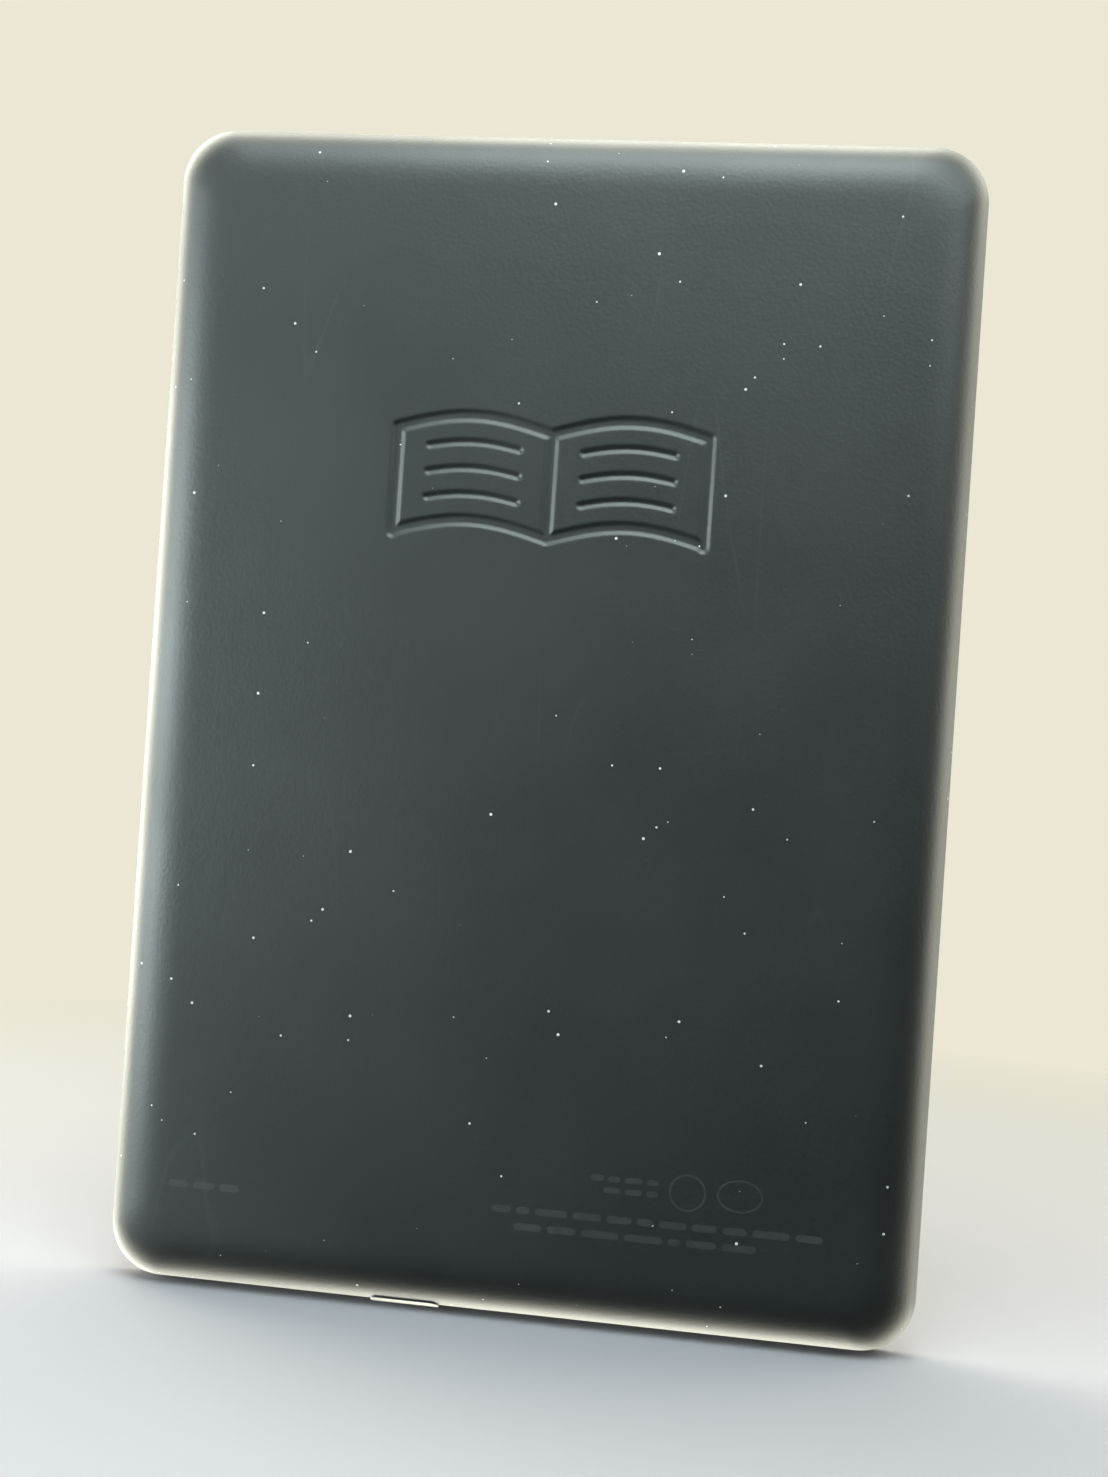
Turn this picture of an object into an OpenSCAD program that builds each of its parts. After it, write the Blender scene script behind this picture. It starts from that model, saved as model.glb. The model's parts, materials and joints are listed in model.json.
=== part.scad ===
// Six-inch front-lit e-reader, drawn as the separate pieces that it is assembled from.
// Millimetres. Each piece is drawn with the reader lying on its back: X to the right and
// Y up as seen from the screen side, Z from the back face (0) to the front face (body_t).
// upright() then stands it up, so that the screen looks along -Y and Z is its height.

/* [Body] */
// Width of the reader
body_w = 117; // [115:1:122]
// Height of the reader
body_h = 169; // [167:1:176]
// Thickness of the reader
body_t = 9.1; // [9.1:0.1:10]
// Radius of the outline's corners
corner_r = 7.8; // [7.7:0.1:9]
// Wall thickness of the rear cover
wall = 1.4; // [1.2:0.1:1.5]

/* [Edge of the back] */
// How far the back's curved edge reaches in from the outline
curve_w = 7.6; // [7.2:0.1:7.7]
// Height of the curved edge above the back face
curve_h = 6.6; // [6.4:0.1:6.8]
// Radius of the tighter arc, next to the outline
side_r = 4.6; // [4.2:0.1:5]

/* [Screen] */
// Width of the picture area
active_w = 90.6; // [88:0.1:92]
// Height of the picture area
active_h = 122.4; // [120:0.1:124]
// Bottom of the picture area above the bottom edge
active_y = 29.6; // [28.8:0.1:30.4]
// Bezel window beyond the picture area, each way
window_gap = 0.8; // [0.4:0.1:1]
// Depth of the screen's surface below the bezel's face
screen_recess = 1.05; // [1:0.05:1.2]

/* [Port and button] */
// Centre of the power button, right of the middle as seen from the screen side
button_x = 13.6; // [13.2:0.1:16]
// Length of the power button's cap
button_l = 10; // [8:0.1:10]
// Height of the power button's cap, across the edge
button_h = 2.2; // [1.8:0.1:2.3]
// How far the cap stands out of the edge
button_proud = 0.35; // [0.2:0.05:0.4]
// Travel of the power button
button_travel = 0.3; // [0.2:0.05:0.3]

/* [Battery] */
// Width of the battery cell
cell_w = 75; // [66:1:76]
// Height of the battery cell
cell_h = 47; // [40:1:47]
// Thickness of the battery cell
cell_t = 3.4; // [3:0.1:3.4]

/* [Mark on the back] */
// Width of the open-book mark
mark_w = 46; // [36:1:54]
// Height of the open-book mark
mark_h = 17; // [14:1:20]
// Middle of the mark above the bottom edge
mark_y = 119; // [112:1:124]
// Width of the mark's strokes
mark_stroke = 1.7; // [1.2:0.1:2]
// Depth of the mark
mark_depth = 0.35; // [0.2:0.05:0.5]

/* [Hidden] */

$fn = 64;
cut = 1;                                    // how far a cutting shape runs past a face

// Heights of the stack, from the front face down
bezel_plate = 0.95;
gasket_t = screen_recess - bezel_plate;
film_t = 0.25;
guide_t = 0.5;
sheet_t = 0.15;
ink_t = 0.2;
glass_t = 0.5;
tape_t = 0.1;
plate_t = 0.9;
film_top = body_t - screen_recess;
film_z = film_top - film_t;
guide_z = film_z - guide_t;
sheet_z = guide_z - sheet_t;
ink_z = sheet_z - ink_t;
glass_z = ink_z - glass_t;
plate_top = glass_z - tape_t;
plate_z = plate_top - plate_t;              // underside of the mid-frame's plate
board_t = 0.8;
board_gap = 0.2;
board_top = plate_z - board_gap;
board_z = board_top - board_t;              // the face that carries most of the chips
bezel_under = body_t - bezel_plate;
rim_top = bezel_under - 0.15;               // top of the mid-frame's rim, under its tape
split_z = body_t - 1.8;                     // parting line between cover and bezel
split_gap = 0.1;
lip_in = 0.8;                               // the cover's lip, in from the outline
lip_gap = 0.1;
bezel_edge_r = 0.9;

// The two tangent arcs of the back's edge
back_r = (curve_w * curve_w + curve_h * curve_h - 2 * curve_w * side_r)
    / (2 * (curve_h - side_r));
side_axis = corner_r - side_r;
back_axis = corner_r - curve_w;
join_angle = atan2(curve_h - back_r, side_axis - back_axis);

// Spans between the corners' axes
span_x = body_w / 2 - corner_r;
span_y = body_h / 2 - corner_r;

// Mid-frame
frame_in = 2.2;
rim_w = 1.4;
pocket_w = 103;
pocket_y = 16.4;
pocket_top = 156;
window_y = 10;                              // bottom of the flexes' windows in the plate

// Display stack, each [width, bottom, top]
glass = [101.8, 17, 155.4];
ink = [94, 27.5, 154.5];
sheet = [95, 27, 155];
guide = [99, 20.2, 154];
gasket_w = 3.1;

// Frame screws: [x, y], into the cover's bosses
frame_screw_at = concat(
    [for (side = [-1, 1], y = [14, 60, 112, 158]) [side * 53.2, y]],
    [for (side = [-1, 1]) [side * 22, 162.4]],
    [for (side = [-1, 1]) [side * 30, 7.2]]
);
screw_r = 0.8;
screw_head_r = 1.5;
screw_head_t = 0.75;
screw_seat = plate_top + 0.45;
insert_r = 1.2;
insert_l = 2.5;
boss_r = 2;
boss_top = plate_z - 0.05;
pillar_r = 2.25;

// Main board
board_w = 92;
board_y0 = 4;
board_y1 = 42;
board_screw_at = [[-42, 38.6], [42, 38.6], [-42, 11], [42, 11]];
small_screw_r = 0.7;
small_head_r = 1.35;
small_head_t = 0.6;

// Flat flexes: [x of the middle, width]
display_tail = [0, 26];
touch_tail = [23.5, 7];
light_tail = [-24.5, 5];
flex_t = 0.1;
flex_seat = board_top + 0.6;                // height at which a flex enters its connector
flex_end = 12.6;

// Micro-B receptacle
usb_w = 7.5;
usb_h = 2.5;
usb_y0 = 1.6;
usb_y1 = 7;
usb_wall = 0.3;
usb_z = board_z - 1.3;                      // the shell sits half-sunk in a notch of the board
slot_w = 9.2;
slot_h = 3.2;
slot_z = usb_z + usb_h / 2;

// Power button and its side-push switch
button_z = 4.2;
button_gap = 0.15;
pad_y = 2.7;
flange_y = pad_y + 0.05;
flange_t = 0.6;
flange_z = 3;
flange_h = 1.9;
flange_ear = 1.3;
switch_y = 4.1;
switch_l = 2.5;
switch_w = 4.7;
switch_h = 1.7;
plunger_w = 1.8;
plunger_h = 1;
plunger_z = board_z - switch_h / 2;
plunger_gap = 0.05;

// Status light
pipe_x = 5.9;
pipe_z = 4;
pipe_r = 0.6;
pipe_end = 3.9;

// Battery, its frame and protection board
frame_y0 = 50;
frame_y1 = 108;
battery_frame_w = 84;
cell_top = plate_z - 0.15;
cell_y = 57;
pcm_y = 52;
pcm_w = 50;
pcm_h = 4.2;
pcm_z = 3.2;
battery_screw_at = [for (x = [-38.6, 38.6], y = [frame_y0 - 2, frame_y1 + 2]) [x, y]];
plug_x = 22;
wire_r = 0.4;
wire_z = 3.6;
wire_pitch = 1.5;

// Antenna and its coaxial lead
antenna_t = 0.15;
coax_r = 0.55;
coax_z = wall + antenna_t + coax_r;
coax_bend = 4;
coax_x = -48.5;
antenna_y = 153;
antenna_end = -16;
socket_at = [-37.5, 38.2];

// Shapes shared by the pieces -------------------------------------------------------------

module upright() {
    translate([0, body_t / 2, button_proud]) rotate([90, 0, 0]) children();
}

module rounded(w, h, r) {
    square([w - 2 * r, h], center = true);
    square([w, h - 2 * r], center = true);
    for (x = [-1, 1], y = [-1, 1])
        translate([x * (w / 2 - r), y * (h / 2 - r)]) circle(r);
}

// A rounded plate centred on X, from y0 to y1 and z0 to z1
module plate(w, y0, y1, r, z0, z1) {
    translate([0, (y0 + y1) / 2, z0]) linear_extrude(z1 - z0) rounded(w, y1 - y0, r);
}

// The body's outline, drawn in by inset, from z0 to z1
module outline(inset, z0, z1) {
    plate(body_w - 2 * inset, inset, body_h - inset, corner_r - inset, z0, z1);
}

// A block centred on [x, y] in plan, from z0 to z1
module block(x, y, w, h, z0, z1) {
    translate([x - w / 2, y - h / 2, z0]) cube([w, h, z1 - z0]);
}

// A prism with round ends that runs along Y from y0 to y1, such as a slot through an edge
module pill(x, z, l, h, y0, y1) {
    steps = 12;
    translate([x, y1, z]) rotate([90, 0, 0]) linear_extrude(y1 - y0)
        polygon([for (side = [1, -1], k = [0:steps]) let (a = 180 * k / steps - 90)
            side * [(l - h) / 2 + cos(a) * h / 2, sin(a) * h / 2]]);
}

// Sweeps a profile round the outline: its X runs outward from the corners' axes
module sweep_outline() {
    for (x = [-1, 1], y = [-1, 1])
        translate([x * span_x, y * span_y, 0])
            rotate([0, 0, atan2(y, x) - 45]) rotate_extrude(angle = 90) children();
    for (side = [0, 1]) mirror([side, 0, 0])
        translate([span_x, span_y, 0]) rotate([90, 0, 0])
            linear_extrude(2 * span_y) children();
    for (side = [0, 1]) mirror([0, side, 0])
        translate([-span_x, span_y, 0]) rotate([90, 0, 90])
            linear_extrude(2 * span_x) children();
}

// A sector of a disc from angle a0 to a1, less than a half turn
module sector(r, a0, a1) {
    intersection() {
        circle(r);
        polygon([[0, 0], 3 * r * [cos(a0), sin(a0)],
            3 * r * [cos((a0 + a1) / 2), sin((a0 + a1) / 2)], 3 * r * [cos(a1), sin(a1)]]);
    }
}

// Section of the back's edge, inset all round, up to the height top
module back_profile(inset, top) {
    intersection() {
        union() {
            translate([0, curve_h]) square([corner_r - inset, top - curve_h + cut]);
            translate([0, inset]) square([back_axis, top - inset + cut]);
            translate([side_axis, curve_h]) circle(side_r - inset);
            translate([back_axis, back_r]) sector(back_r - inset, -105, join_angle);
        }
        translate([0, -cut]) square([corner_r + cut, top + cut]);
    }
}

// The body's solid shape behind the height top, drawn in by inset
module back_solid(inset, top) {
    translate([0, body_h / 2, 0]) {
        sweep_outline() back_profile(inset, top);
        translate([-span_x, -span_y, inset]) cube([2 * span_x, 2 * span_y, top - inset]);
    }
}

// The straight part of the back's bottom edge, drawn in by inset
module bottom_edge(inset) {
    mirror([0, 1, 0]) translate([-span_x, -corner_r, 0]) rotate([90, 0, 90])
        linear_extrude(2 * span_x) back_profile(inset, split_z);
}

// A machine screw with a cross recess, its head's seat at z and its head towards +Z
module screw(r, head_r, head_t, l) {
    difference() {
        union() {
            translate([0, 0, -l]) cylinder(r = r, h = l);
            cylinder(r = head_r, h = head_t);
        }
        for (a = [0, 90]) rotate([0, 0, a])
            translate([-head_r * 0.55, -0.15, head_t * 0.4]) cube([head_r * 1.1, 0.3, head_t]);
    }
}

// A flat flex from the edge of a layer, at y and height z, down into its connector
module flex(tail, y, z) {
    points = [[y, z], [16.8, z], [16.2, z - 0.2], [15.6, flex_seat + 0.3],
        [15.1, flex_seat], [flex_end, flex_seat]];
    last = len(points) - 1;
    translate([tail[0] - tail[1] / 2, 0, 0]) rotate([90, 0, 90]) linear_extrude(tail[1])
        polygon(concat(points, [for (k = [last:-1:0]) points[k] + [0, flex_t]]));
}

// A connector on the board's front face, slotted for its flex
module flex_connector(tail) {
    difference() {
        block(tail[0], 12.9, tail[1] + 2.4, 4.2, board_top, board_top + 1.05);
        block(tail[0], 14, tail[1] + 0.2, 3, flex_seat - 0.02, flex_seat + flex_t + 0.02);
    }
}

// A chip on the board's rear face, with a pin-one dimple
module chip(x, y, w, h, t) {
    difference() {
        block(x, y, w, h, board_z - t, board_z);
        translate([x - w * 0.38, y + h * 0.38, board_z - t - cut])
            cylinder(r = 0.35, h = cut + 0.08);
    }
}

// A shield can, open towards the board
module shield(x, y, w, h, t) {
    sheet_metal = 0.2;
    difference() {
        block(x, y, w, h, board_z - t, board_z);
        block(x, y, w - 2 * sheet_metal, h - 2 * sheet_metal,
            board_z - t + sheet_metal, board_z + cut);
        for (k = [-1, 1]) translate([x + k * w * 0.3, y, board_z - t - cut])
            cylinder(r = 0.6, h = 2 * cut);
    }
}

// One curved stroke of the mark, from x0 to x1, its middle at height y
module page_stroke(x0, x1, y, w) {
    steps = 16;
    half = mark_w / 2;
    bow = 2.2;
    path = [for (k = [0:steps]) let (x = x0 + (x1 - x0) * k / steps)
        [x, y + bow * sin(180 * x / half)]];
    polygon(concat([for (p = path) p + [0, w / 2]],
        [for (k = [steps:-1:0]) path[k] - [0, w / 2]]));
}

// Plan of the open-book mark
module book_mark() {
    half = mark_w / 2;
    low = -mark_h / 2;
    high = mark_h / 2 - 2.2;
    for (side = [0, 1]) mirror([side, 0, 0]) {
        for (y = [low, high]) page_stroke(0, half, y, mark_stroke);
        translate([half - mark_stroke, low - mark_stroke / 2])
            square([mark_stroke, high - low + mark_stroke]);
        translate([0, low - mark_stroke / 2])
            square([mark_stroke / 2, high - low + mark_stroke]);
        for (k = [1:3]) page_stroke(half * 0.2, half * 0.76,
            low + (high - low) * k / 4, mark_stroke * 0.6);
    }
}

// Casing ----------------------------------------------------------------------------------

module rear_cover() {
    color([0.09, 0.1, 0.1]) difference() {
        union() {
            difference() {
                union() {
                    back_solid(0, split_z);
                    outline(lip_in, split_z, split_z + 0.7);
                }
                back_solid(wall, split_z + cut);
            }
            cover_bosses();
            cover_ribs();
            cover_pad();
        }
        for (p = frame_screw_at) translate([p[0], p[1], boss_top - insert_l - 0.3])
            cylinder(r = insert_r, h = insert_l + cut, $fn = 32);
        bottom_edge_cuts();
        translate([0, mark_y, -cut]) linear_extrude(cut + mark_depth) book_mark();
    }
}

module cover_bosses() {
    for (p = frame_screw_at) translate([p[0], p[1], wall])
        cylinder(r = boss_r, h = boss_top - wall, $fn = 32);
}

module cover_ribs() {
    rib = 0.8;
    for (x = [-36:24:36]) block(x, 130, rib, 32, wall / 2, 3.2);
    for (y = [114, 130, 146]) block(0, y, 72 + rib, rib, wall / 2, 3.2);
}

// Thickens the wall behind the button and the status light, a little past pad_y
module cover_pad() {
    left = pipe_x - 1.3;
    right = button_x + button_l / 2 + flange_ear + 1;
    intersection() {
        bottom_edge(wall / 2);
        translate([left, 0, 0]) cube([right - left, pad_y + 0.3, plate_z - 0.1]);
    }
}

// The socket's slot, the button's slot and pocket, and the status light's hole
module bottom_edge_cuts() {
    pill(0, slot_z, slot_w, slot_h, -cut, 4);
    pill(button_x, button_z, button_l + 2 * button_gap, button_h + 2 * button_gap, -cut, 4);
    block(button_x, pad_y + 1, button_l + 2 * flange_ear + 0.6, 2, flange_z - 0.3, split_z + cut);
    translate([pipe_x, 4, pipe_z]) rotate([90, 0, 0]) cylinder(r = pipe_r + 0.05, h = 5);
    translate([pipe_x, pad_y + 2, pipe_z]) rotate([90, 0, 0]) cylinder(r = pipe_r + 0.4, h = 2);
}

// Section of the bezel's rim, its front edge rounded
module bezel_profile() {
    low = split_z + split_gap;
    high = body_t - bezel_edge_r;
    translate([0, low]) square([corner_r, high - low]);
    translate([0, high]) square([corner_r - bezel_edge_r, bezel_edge_r]);
    translate([corner_r - bezel_edge_r, high]) sector(bezel_edge_r, 0, 90);
}

module front_bezel() {
    window_w = active_w + 2 * window_gap;
    window_h = active_h + 2 * window_gap;
    middle = active_y + active_h / 2;
    bevel = 0.5;
    color([0.07, 0.07, 0.075]) difference() {
        translate([0, body_h / 2, 0]) {
            sweep_outline() bezel_profile();
            translate([-span_x, -span_y, split_z + split_gap])
                cube([2 * span_x, 2 * span_y, body_t - split_z - split_gap]);
        }
        outline(lip_in - lip_gap, split_z - cut, bezel_under);
        plate(window_w, middle - window_h / 2, middle + window_h / 2, 0.8,
            split_z, body_t + cut);
        for (side = [-1, 1]) {
            translate([side * window_w / 2, middle, body_t]) rotate([0, 45, 0])
                cube([bevel * sqrt(2), window_h, bevel * sqrt(2)], center = true);
            translate([0, middle + side * window_h / 2, body_t]) rotate([45, 0, 0])
                cube([window_w, bevel * sqrt(2), bevel * sqrt(2)], center = true);
        }
    }
}

module bezel_tape() {
    color([0.15, 0.15, 0.15]) difference() {
        outline(frame_in, rim_top, bezel_under);
        outline(frame_in + rim_w, rim_top - cut, bezel_under + cut);
    }
}

// Mid-frame and its fasteners -------------------------------------------------------------

module mid_frame() {
    pocket_wall = 1;
    color([0.62, 0.63, 0.65]) difference() {
        union() {
            outline(frame_in, plate_z, plate_top);
            difference() {
                outline(frame_in, plate_z, rim_top);
                outline(frame_in + rim_w, plate_z - cut, rim_top + cut);
            }
            difference() {
                plate(pocket_w + 2 * pocket_wall, pocket_y, pocket_top + pocket_wall, 1.5,
                    plate_z, rim_top - 0.1);
                plate(pocket_w, pocket_y - cut, pocket_top, 0.8, plate_z - cut, body_t);
            }
            for (p = frame_screw_at) translate([p[0], p[1], plate_z])
                cylinder(r = pillar_r, h = rim_top - plate_z);
            for (p = board_screw_at) translate([p[0], p[1], board_top])
                cylinder(r = 2, h = plate_top - board_top);
        }
        for (p = frame_screw_at) translate([p[0], p[1], plate_z - cut]) {
            cylinder(r = screw_r + 0.1, h = body_t);
            translate([0, 0, screw_seat - plate_z + cut])
                cylinder(r = screw_head_r + 0.1, h = body_t);
        }
        for (p = concat(board_screw_at, battery_screw_at))
            translate([p[0], p[1], board_top - cut]) cylinder(r = small_screw_r, h = body_t);
        for (tail = [display_tail, touch_tail, light_tail])
            block(tail[0], (window_y + pocket_y) / 2, tail[1] + 4, pocket_y - window_y,
                plate_z - cut, body_t);
        for (x = [-26, 26]) block(x, 133, 30, 26, plate_z - cut, plate_z + 0.35);
        block(0, frame_in + 3, usb_w + 1, 8, plate_z - cut, usb_z + usb_h + 0.2);
    }
}

module frame_screws() {
    color([0.75, 0.75, 0.77]) for (p = frame_screw_at)
        translate([p[0], p[1], screw_seat])
            screw(screw_r - 0.05, screw_head_r, screw_head_t, screw_seat - boss_top + insert_l);
}

module boss_inserts() {
    color([0.8, 0.62, 0.3]) for (p = frame_screw_at)
        translate([p[0], p[1], boss_top - insert_l]) difference() {
            cylinder(r = insert_r, h = insert_l, $fn = 32);
            translate([0, 0, -cut]) cylinder(r = screw_r, h = insert_l + 2 * cut, $fn = 32);
        }
}

// Display stack ---------------------------------------------------------------------------

module display_layer(size, z0, z1) {
    plate(size[0], size[1], size[2], 0.6, z0, z1);
}

module touch_film() {
    color([0.8, 0.8, 0.78]) display_layer(guide, film_z, film_top);
}

module light_guide() {
    color([0.86, 0.9, 0.92]) display_layer(guide, guide_z, film_z);
}

module protective_sheet() {
    color([0.88, 0.88, 0.86]) display_layer(sheet, sheet_z, guide_z);
}

module ink_laminate() {
    color([0.72, 0.72, 0.69]) display_layer(ink, ink_z, sheet_z);
}

module glass_backplane() {
    color([0.5, 0.58, 0.55]) display_layer(glass, glass_z, ink_z);
}

module display_tape() {
    color([0.12, 0.12, 0.12]) difference() {
        display_layer([96, 20, 152], plate_top, glass_z);
        display_layer([84, 32, 140], plate_top - cut, glass_z + cut);
    }
}

module window_gasket() {
    window_w = active_w + 2 * window_gap;
    low = active_y - window_gap;
    high = active_y + active_h + window_gap;
    side = 1;
    color([0.1, 0.1, 0.1]) difference() {
        plate(window_w + 2 * gasket_w, low - gasket_w, high + side, 1.2,
            film_top, film_top + gasket_t);
        plate(window_w + 0.4, low - 0.2, high + 0.2, 0.9, film_top - cut, body_t);
    }
}

module driver_chips() {
    color([0.16, 0.16, 0.18]) for (x = [-36, -19, 19, 36])
        block(x, 23.4, 13, 1.3, ink_z, ink_z + 0.25);
}

module light_strip() {
    color([0.85, 0.6, 0.25]) block(0, 19, 84, 3.2, guide_z - 0.22, guide_z - 0.02);
}

module light_strip_leds() {
    color([0.95, 0.93, 0.8]) for (x = [-37.5, -12.5, 12.5, 37.5])
        block(x, 19.6, 3, 1, guide_z - 0.02, guide_z + 0.48);
}

module display_flex() {
    color([0.82, 0.5, 0.18]) flex(display_tail, 19.4, ink_z);
}

module touch_flex() {
    color([0.82, 0.5, 0.18]) flex(touch_tail, guide[1], film_z + 0.08);
}

module light_flex() {
    color([0.82, 0.5, 0.18]) flex(light_tail, 17.4, guide_z - 0.17);
}

// Main board and what it carries ----------------------------------------------------------

module main_board() {
    color([0.08, 0.3, 0.16]) difference() {
        plate(board_w, board_y0, board_y1, 1, board_z, board_top);
        for (p = board_screw_at) translate([p[0], p[1], board_z - cut])
            cylinder(r = small_screw_r + 0.15, h = board_t + 2 * cut);
        for (p = frame_screw_at) translate([p[0], p[1], board_z - cut])
            cylinder(r = boss_r + 0.4, h = board_t + 2 * cut);
        block(0, board_y0, usb_w + 0.2, 2 * (usb_y1 - board_y0 + 0.1), board_z - cut, board_top + cut);
    }
}

// Screws driven from the back, through the board into the mid-frame
module board_screws() {
    color([0.78, 0.78, 0.8]) for (p = board_screw_at) translate([p[0], p[1], board_z])
        mirror([0, 0, 1]) screw(small_screw_r - 0.02, small_head_r, small_head_t,
            plate_top - board_z - 0.1);
}

module processor() {
    color([0.1, 0.1, 0.11]) chip(-11, 26, 13, 13, 0.9);
}

module memory_chip() {
    color([0.11, 0.11, 0.12]) chip(5.5, 26, 12, 11.5, 0.8);
}

module storage_chip() {
    color([0.1, 0.1, 0.12]) chip(25.5, 27, 11.5, 13, 1);
}

module power_chip() {
    color([0.12, 0.12, 0.12]) chip(-36, 19, 7, 7, 0.8);
}

module display_power_chip() {
    color([0.12, 0.12, 0.12]) chip(24, 13.5, 6, 6, 0.8);
}

module radio_module() {
    color([0.1, 0.12, 0.1]) chip(-34, 30, 8, 7, 0.7);
}

module hall_sensor() {
    color([0.1, 0.1, 0.1]) chip(39, 20, 2.9, 1.6, 1.1);
}

module board_capacitors() {
    color([0.62, 0.5, 0.36]) {
        for (k = [0:7]) block(-14 + 3.2 * k, 12.4, 1.6, 0.8, board_z - 0.8, board_z);
        for (k = [0:5]) block(35.2, 24 + 2.4 * k, 1, 0.5, board_z - 0.5, board_z);
        for (k = [0:4]) block(-44.2, 16 + 2.6 * k, 0.8, 1.6, board_z - 0.8, board_z);
    }
}

module board_coils() {
    color([0.35, 0.33, 0.32]) for (p = [[-28, 15], [-28, 21], [30.4, 15.2], [36, 13]])
        block(p[0], p[1], 4, 4, board_z - 1.2, board_z);
}

module processor_shield() {
    color([0.78, 0.79, 0.8]) shield(-3, 26, 34, 20, 1.5);
}

module radio_shield() {
    color([0.78, 0.79, 0.8]) shield(-34, 30, 11, 9.6, 1.3);
}

module display_connector() {
    color([0.9, 0.88, 0.8]) flex_connector(display_tail);
}

module touch_connector() {
    color([0.9, 0.88, 0.8]) flex_connector(touch_tail);
}

module light_connector() {
    color([0.9, 0.88, 0.8]) flex_connector(light_tail);
}

// Socket, button and status light ---------------------------------------------------------

// Plan of the receptacle's mouth, drawn in by d, its narrow side towards the back
module usb_mouth(d) {
    w = usb_w / 2 - d;
    step = 1.1;
    polygon([[-w, usb_h - d], [w, usb_h - d], [w, step + d / 2], [w - step + d / 2, d],
        [-w + step - d / 2, d], [-w, step + d / 2]]);
}

module usb_shell() {
    tab_w = 1.3;
    color([0.8, 0.8, 0.82]) {
        translate([0, usb_y1, usb_z]) rotate([90, 0, 0]) difference() {
            linear_extrude(usb_y1 - usb_y0) usb_mouth(0);
            translate([0, 0, -cut]) linear_extrude(usb_y1 - usb_y0 + 2 * cut) usb_mouth(usb_wall);
        }
        for (side = [-1, 1]) block(side * (usb_w / 2 + tab_w / 2 - 0.1), usb_y1 - 1, tab_w, 1.2,
            board_z - 0.3, board_z);
    }
}

module usb_tongue() {
    back_l = 1.6;
    color([0.09, 0.09, 0.09]) {
        translate([0, usb_y1, usb_z]) rotate([90, 0, 0])
            linear_extrude(back_l) usb_mouth(usb_wall);
        block(0, (usb_y0 + 0.9 + usb_y1 - back_l) / 2, 3.6, usb_y1 - back_l - usb_y0 - 0.9,
            usb_z + 1.35, usb_z + 1.9);
    }
}

module usb_contacts() {
    color([0.85, 0.68, 0.3]) for (k = [-2:2])
        block(k * 0.65, usb_y0 + 2.5, 0.3, 2.6, usb_z + 1.28, usb_z + 1.35);
}

module switch_body() {
    color([0.88, 0.86, 0.8]) difference() {
        block(button_x, switch_y + switch_l / 2, switch_w, switch_l, board_z - switch_h, board_z);
        block(button_x, switch_y + 0.5, plunger_w + 2 * plunger_gap, 1.8,
            plunger_z - plunger_h / 2 - plunger_gap, plunger_z + plunger_h / 2 + plunger_gap);
    }
}

module switch_plunger() {
    tip = flange_y + flange_t;
    color([0.15, 0.15, 0.15])
        block(button_x, (tip + switch_y + 0.6) / 2, plunger_w, switch_y + 0.6 - tip,
            plunger_z - plunger_h / 2, plunger_z + plunger_h / 2);
}

module power_button() {
    color([0.08, 0.08, 0.085]) {
        intersection() {
            pill(button_x, button_z, button_l, button_h, -cut, flange_y + 0.01);
            bottom_edge(-button_proud);
        }
        block(button_x, flange_y + flange_t / 2, button_l + 2 * flange_ear, flange_t,
            flange_z, flange_z + flange_h);
    }
}

module status_led() {
    color([0.95, 0.9, 0.6]) block(pipe_x, 4.6, 1.6, 0.9, board_z - 1, board_z);
}

module led_light_pipe() {
    color([0.9, 0.9, 0.88]) {
        intersection() {
            translate([pipe_x, flange_y, pipe_z]) rotate([90, 0, 0])
                cylinder(r = pipe_r, h = flange_y);
            bottom_edge(0);
        }
        translate([pipe_x, pipe_end, pipe_z]) rotate([90, 0, 0])
            cylinder(r = pipe_r + 0.3, h = pipe_end - flange_y);
    }
}

// Battery ---------------------------------------------------------------------------------

module battery_cell() {
    color([0.72, 0.73, 0.75]) plate(cell_w, cell_y, cell_y + cell_h, 1.2,
        cell_top - cell_t, cell_top);
}

module battery_tape() {
    color([0.93, 0.93, 0.9]) for (x = [-22, 22])
        block(x, cell_y + cell_h / 2, 16, cell_h - 8, cell_top, plate_z);
}

module battery_pad() {
    color([0.2, 0.2, 0.2]) for (y = [cell_y + 10, cell_y + cell_h - 10])
        block(0, y, 52, 8, wall, cell_top - cell_t);
}

module battery_frame() {
    low = 2.6;
    ear_t = 1.2;
    color([0.13, 0.13, 0.14]) difference() {
        union() {
            plate(battery_frame_w, frame_y0, frame_y1, 1.5, low, plate_z);
            for (p = battery_screw_at) translate([p[0], p[1], plate_z - ear_t])
                cylinder(r = 2.6, h = ear_t);
        }
        plate(cell_w + 0.6, cell_y - 0.3, cell_y + cell_h + 0.3, 1.4, low - cut, plate_z + cut);
        plate(pcm_w + 1, pcm_y - 0.4, cell_y + 1, 0.8, low - cut, plate_z + cut);
        block(plug_x, frame_y0, 3 * wire_pitch + 1, 5, low - cut, 4.4);
        for (p = battery_screw_at) translate([p[0], p[1], 0]) {
            cylinder(r = small_screw_r + 0.1, h = body_t);
            cylinder(r = small_head_r + 0.25, h = plate_z - ear_t);
        }
    }
}

module battery_screws() {
    color([0.78, 0.78, 0.8]) for (p = battery_screw_at)
        translate([p[0], p[1], plate_z - 1.2]) mirror([0, 0, 1])
            screw(small_screw_r - 0.02, small_head_r, small_head_t, 1.2 + plate_t - 0.1);
}

module battery_board() {
    color([0.1, 0.35, 0.2]) block(0, pcm_y + pcm_h / 2, pcm_w, pcm_h, pcm_z, pcm_z + 0.8);
}

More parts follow.
